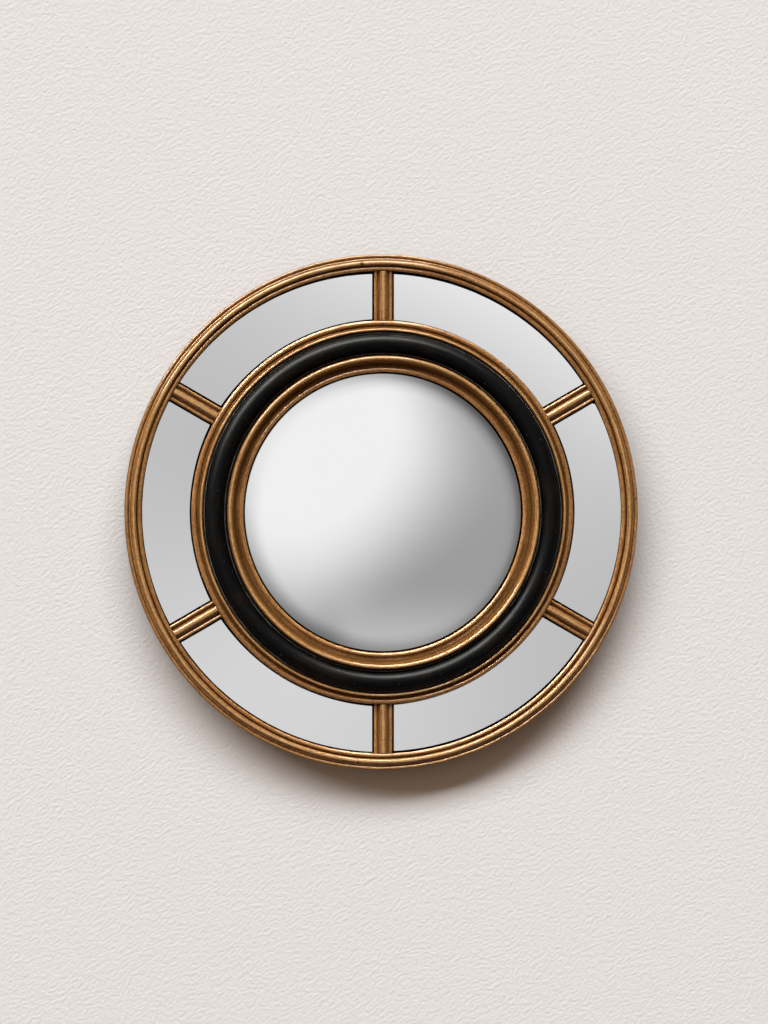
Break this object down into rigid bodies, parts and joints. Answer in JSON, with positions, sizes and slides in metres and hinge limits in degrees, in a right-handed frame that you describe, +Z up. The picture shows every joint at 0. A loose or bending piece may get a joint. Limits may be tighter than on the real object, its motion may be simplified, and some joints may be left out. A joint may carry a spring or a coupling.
{
  "type": "round wall mirror",
  "caption": "Round wall mirror with a convex centre glass in a black half-round ring, flat mirror plates between gilt bars, and a ring hanger in the back.",
  "frame": {"origin": "centre of the rear face, where the mirror lies against the wall", "axes": "+Z up, the mirror's front faces -Y, and +X is to the right of someone looking at the mirror; the wall is the plane y = 0"},
  "size_m": [0.38, 0.0352, 0.38],
  "materials": {
    "gilt_wood": "turned wood with antique gold paint, brown wash in the grooves, light wear on the crests",
    "ebonised_wood": "black satin paint, rubbed grey along the arrises",
    "painted_board": "black painted fibreboard",
    "fibreboard": "bare fibreboard",
    "mirror_glass": "polished glass silvered behind",
    "foam": "dark closed cell foam",
    "zinc_steel": "zinc plated"
  },
  "bodies": {
    "frame": {"outer_ring": "gilt_wood", "bar_1": "gilt_wood", "bar_2": "gilt_wood", "bar_3": "gilt_wood", "bar_4": "gilt_wood", "bar_5": "gilt_wood", "bar_6": "gilt_wood", "reeded_ring": "gilt_wood", "black_ring": "ebonised_wood", "slip_ring": "gilt_wood", "ground_board": "painted_board", "plate_1": "mirror_glass", "plate_2": "mirror_glass", "plate_3": "mirror_glass", "plate_4": "mirror_glass", "plate_5": "mirror_glass", "plate_6": "mirror_glass", "plate_tapes": "foam", "convex_glass": "mirror_glass", "glass_gasket": "foam", "spacer_ring": "fibreboard", "back_cover": "fibreboard", "cover_screws": "zinc_steel", "hanger_strap": "zinc_steel", "hanger_screws": "zinc_steel"},
    "ring": {"hanger_ring": "zinc_steel"}
  },
  "joints": [
    {"name": "ring_swing", "type": "hinge", "parent": "frame", "child": "ring", "pos_m": [0, -0.0036, 0.15025], "axis": [-1, 0, 0], "range_deg": [0, 175]}
  ]
}
